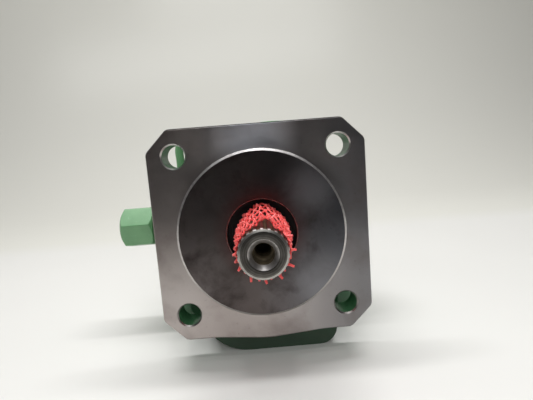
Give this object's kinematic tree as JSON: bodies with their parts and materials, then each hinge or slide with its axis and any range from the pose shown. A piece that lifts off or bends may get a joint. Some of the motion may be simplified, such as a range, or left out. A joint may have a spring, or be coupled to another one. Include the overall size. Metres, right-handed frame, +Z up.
{
  "type": "gear motor",
  "caption": "Hydraulic external gear motor with a square pilot flange, splined shaft under a net guard, side ports and a drain line.",
  "frame": {"origin": "on the machined base pad under the gear housing, midway along the gears and straight below the output shaft", "axes": "-Y along the output shaft, out of the mounting flange; +Z up from the base pad; +X to the right seen from the shaft end"},
  "size_m": [0.1881, 0.1935, 0.1532],
  "materials": {
    "flange_iron": "machined bare front face, painted green on the sides and the back",
    "green_paint": "semi-gloss green enamel over rough castings and fittings",
    "dark_steel": "hardened and ground, dark, oiled",
    "bright_steel": "ground bright",
    "block_aluminium": "fine machined",
    "bronze": "fine bored",
    "copper": "soft annealed",
    "black_rubber": "matt, oiled",
    "red_plastic": "glossy extruded strands"
  },
  "bodies": {
    "housing": {"front_flange": "flange_iron", "gear_housing": "green_paint", "rear_cover": "green_paint", "through_bolt_1": "green_paint", "through_bolt_2": "green_paint", "through_bolt_3": "green_paint", "through_bolt_4": "green_paint", "bolt_washer_1": "green_paint", "bolt_washer_2": "green_paint", "bolt_washer_3": "green_paint", "bolt_washer_4": "green_paint", "left_port_adapter": "green_paint", "left_cap_nut": "green_paint", "right_port_plug": "green_paint", "drain_banjo_bolt": "green_paint", "drain_banjo_eye": "green_paint", "drain_tube": "green_paint", "drain_tube_nut": "green_paint", "drain_nipple": "green_paint", "dowel_pin_1": "bright_steel", "dowel_pin_2": "bright_steel", "dowel_pin_3": "bright_steel", "dowel_pin_4": "bright_steel", "seal_circlip": "bright_steel", "front_bearing_block": "block_aluminium", "rear_bearing_block": "block_aluminium", "front_bush_drive": "bronze", "front_bush_idler": "bronze", "rear_bush_drive": "bronze", "rear_bush_idler": "bronze", "left_port_seal": "copper", "right_port_seal": "copper", "drain_washer_lower": "copper", "drain_washer_upper": "copper", "front_balance_seal": "black_rubber", "rear_balance_seal": "black_rubber", "front_body_seal": "black_rubber", "rear_body_seal": "black_rubber", "shaft_seal": "black_rubber"},
    "drive_shaft": {"drive_gear_shaft": "dark_steel", "shaft_net_sleeve": "red_plastic"},
    "idler_shaft": {"idler_gear_shaft": "bright_steel"}
  },
  "joints": [
    {"name": "drive_spin", "type": "hinge", "parent": "housing", "child": "drive_shaft", "pos_m": [0, 0, 0.085], "axis": [0, -1, 0], "continuous": true},
    {"name": "idler_spin", "type": "hinge", "parent": "housing", "child": "idler_shaft", "pos_m": [0, 0, 0.04], "axis": [0, -1, 0], "continuous": true}
  ],
  "couplings": [
    {"joint": "idler_spin", "follows": "drive_spin", "ratio": -1}
  ]
}
